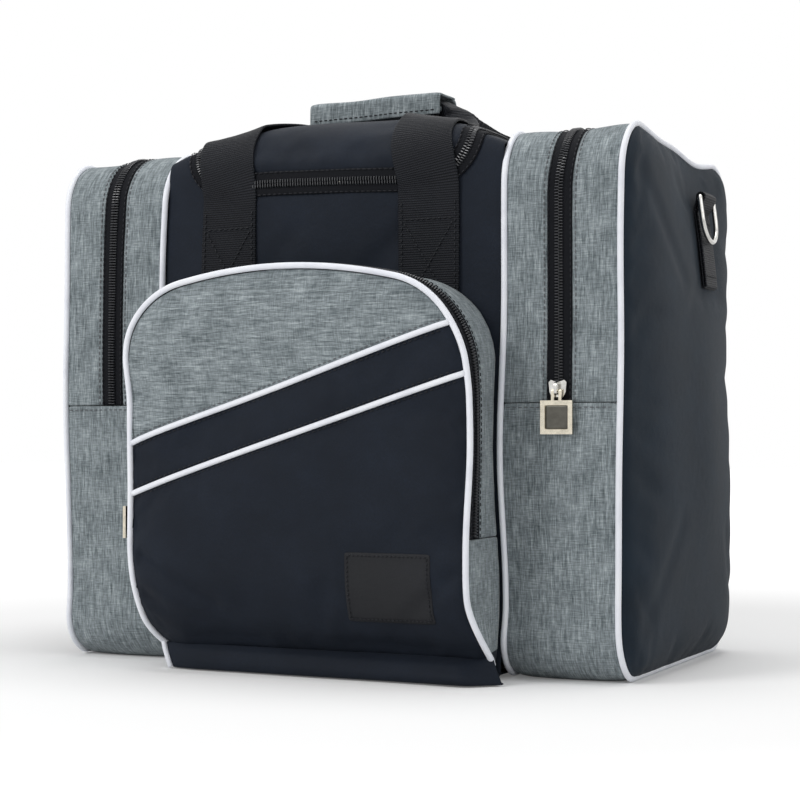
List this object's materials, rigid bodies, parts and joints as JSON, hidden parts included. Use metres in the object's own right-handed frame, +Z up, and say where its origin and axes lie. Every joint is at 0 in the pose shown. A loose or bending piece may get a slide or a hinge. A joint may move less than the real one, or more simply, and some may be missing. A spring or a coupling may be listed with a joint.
{
  "type": "bowling bag",
  "caption": "Soft tote for a bowling ball with zipped lid, a zipped shoe pocket at each end, a zipped front pocket, joined webbing handles and strap rings.",
  "frame": {"origin": "on the floor, under the middle of the ball compartment", "axes": "+Z up, -Y towards the front pocket, +X towards the right-hand shoe pocket seen from the front"},
  "size_m": [0.4526, 0.2999, 0.4012],
  "materials": {
    "black_cloth": "matte woven polyester",
    "grey_heather": "matte streaked heather weave",
    "white_piping": "satin",
    "black_webbing": "ribbed, satin",
    "zip_tape": "matte with nylon coil",
    "black_patch": "woven, satin",
    "lining": "matte",
    "foam": "matte",
    "board": "matte",
    "nickel": "polished",
    "pale_gold": "polished"
  },
  "bodies": {
    "bag": {"ball_ring": "foam", "base_board": "board", "base_panel": "black_cloth", "front_pocket_foot_gusset": "black_cloth", "front_pocket_gusset": "grey_heather", "front_pocket_lower_panel": "black_cloth", "front_pocket_lower_piping": "white_piping", "front_pocket_zip_back_tape": "zip_tape", "front_sewn_webbing": "black_webbing", "label_patch": "black_patch", "left_inner_piping": "white_piping", "left_outer_piping_lower": "white_piping", "left_pocket_inner_gusset": "grey_heather", "left_pocket_inner_zip_tape": "zip_tape", "left_pocket_lower_gusset": "grey_heather", "left_pocket_partition": "lining", "left_side_panel_lower": "black_cloth", "main_front_panel": "black_cloth", "main_rear_panel": "black_cloth", "main_zip_body_tape": "zip_tape", "rear_sewn_webbing": "black_webbing", "right_inner_piping": "white_piping", "right_outer_piping_lower": "white_piping", "right_pocket_inner_gusset": "grey_heather", "right_pocket_inner_zip_tape": "zip_tape", "right_pocket_lower_gusset": "grey_heather", "right_pocket_partition": "lining", "right_side_panel_lower": "black_cloth", "top_side_strips": "black_cloth"},
    "right_pocket_flap": {"right_pocket_outer_gusset": "grey_heather", "right_side_panel_upper": "black_cloth", "right_outer_piping_upper": "white_piping", "right_pocket_outer_zip_tape": "zip_tape", "right_strap_ring_tab": "black_webbing"},
    "right_ring": {"right_strap_ring": "nickel"},
    "left_pocket_flap": {"left_pocket_outer_gusset": "grey_heather", "left_side_panel_upper": "black_cloth", "left_outer_piping_upper": "white_piping", "left_pocket_outer_zip_tape": "zip_tape", "left_strap_ring_tab": "black_webbing"},
    "left_ring": {"left_strap_ring": "nickel"},
    "front_pocket_flap": {"front_pocket_grey_panel": "grey_heather", "front_pocket_black_panel": "black_cloth", "front_pocket_seam_piping": "white_piping", "front_pocket_upper_piping": "white_piping", "front_pocket_zip_front_tape": "zip_tape"},
    "lid": {"lid_panel": "black_cloth", "main_zip_lid_tape": "zip_tape"},
    "front_handle": {"front_handle_webbing": "black_webbing"},
    "rear_handle": {"rear_handle_webbing": "black_webbing", "grip_wrap": "grey_heather"},
    "wrap_flap": {"grip_wrap_flap": "grey_heather"},
    "right_pocket_slider": {"right_pocket_slider": "nickel"},
    "right_pocket_pull": {"right_pocket_pull": "pale_gold"},
    "left_pocket_slider": {"left_pocket_slider": "nickel"},
    "left_pocket_pull": {"left_pocket_pull": "pale_gold"},
    "front_pocket_slider": {"front_pocket_slider": "nickel"},
    "front_pocket_pull": {"front_pocket_pull": "pale_gold"},
    "main_slider": {"main_slider": "nickel"},
    "main_pull": {"main_pull": "pale_gold"}
  },
  "joints": [
    {"name": "lid_open", "type": "hinge", "parent": "bag", "child": "lid", "pos_m": [0, 0.082, 0.3704], "axis": [-1, 0, 0], "range_deg": [0, 100], "deforming": ["front_handle_webbing", "rear_handle_webbing", "grip_wrap", "grip_wrap_flap"]},
    {"name": "front_handle_fold", "type": "hinge", "parent": "bag", "child": "front_handle", "pos_m": [0, -0.1202, 0.321], "axis": [1, 0, 0], "range_deg": [0, 170]},
    {"name": "rear_handle_fold", "type": "hinge", "parent": "bag", "child": "rear_handle", "pos_m": [0, 0.1202, 0.321], "axis": [-1, 0, 0], "range_deg": [0, 115]},
    {"name": "wrap_flap_open", "type": "hinge", "parent": "rear_handle", "child": "wrap_flap", "pos_m": [0, 0.013, 0.4012], "axis": [-1, 0, 0], "range_deg": [0, 130]},
    {"name": "right_pocket_open", "type": "hinge", "parent": "bag", "child": "right_pocket_flap", "pos_m": [0.226, 0, 0.178], "axis": [0, 1, 0], "range_deg": [0, 70]},
    {"name": "left_pocket_open", "type": "hinge", "parent": "bag", "child": "left_pocket_flap", "pos_m": [-0.226, 0, 0.178], "axis": [0, -1, 0], "range_deg": [0, 70]},
    {"name": "front_pocket_open", "type": "hinge", "parent": "bag", "child": "front_pocket_flap", "pos_m": [0, -0.1725, 0.092], "axis": [1, 0, 0], "range_deg": [0, 50]},
    {"name": "right_ring_swing", "type": "hinge", "parent": "right_pocket_flap", "child": "right_ring", "pos_m": [0.22065, 0.03, 0.322], "axis": [0, -1, 0], "range_deg": [0, 150]},
    {"name": "left_ring_swing", "type": "hinge", "parent": "left_pocket_flap", "child": "left_ring", "pos_m": [-0.22065, -0.03, 0.322], "axis": [0, 1, 0], "range_deg": [0, 150]},
    {"name": "right_pocket_zip", "type": "slide", "parent": "bag", "child": "right_pocket_slider", "axis": [0, 0, 1], "range_m": [0, 0.126]},
    {"name": "left_pocket_zip", "type": "slide", "parent": "bag", "child": "left_pocket_slider", "axis": [0, 0, 1], "range_m": [0, 0.126]},
    {"name": "front_pocket_zip", "type": "slide", "parent": "bag", "child": "front_pocket_slider", "axis": [0, 0, 1], "range_m": [0, 0.06]},
    {"name": "main_zip", "type": "slide", "parent": "bag", "child": "main_slider", "axis": [0, -1, 0], "range_m": [0, 0.18]},
    {"name": "right_pocket_pull_swing", "type": "hinge", "parent": "right_pocket_slider", "child": "right_pocket_pull", "pos_m": [0.166, -0.1245, 0.1856], "axis": [-1, 0, 0], "range_deg": [0, 160]},
    {"name": "left_pocket_pull_swing", "type": "hinge", "parent": "left_pocket_slider", "child": "left_pocket_pull", "pos_m": [-0.166, 0.1245, 0.1856], "axis": [1, 0, 0], "range_deg": [0, 160]},
    {"name": "front_pocket_pull_swing", "type": "hinge", "parent": "front_pocket_slider", "child": "front_pocket_pull", "pos_m": [-0.1265, -0.16, 0.1156], "axis": [0, 1, 0], "range_deg": [0, 160]},
    {"name": "main_pull_swing", "type": "hinge", "parent": "main_slider", "child": "main_pull", "pos_m": [-0.10364, 0.0876, 0.36192], "axis": [0.9311, 0, 0.3648], "range_deg": [0, 160]}
  ],
  "couplings": [
    {"joint": "front_handle_fold", "follows": "lid_open", "ratio": 1.65},
    {"joint": "rear_handle_fold", "follows": "lid_open", "ratio": 1.1},
    {"joint": "wrap_flap_open", "follows": "lid_open", "ratio": 1.2}
  ]
}
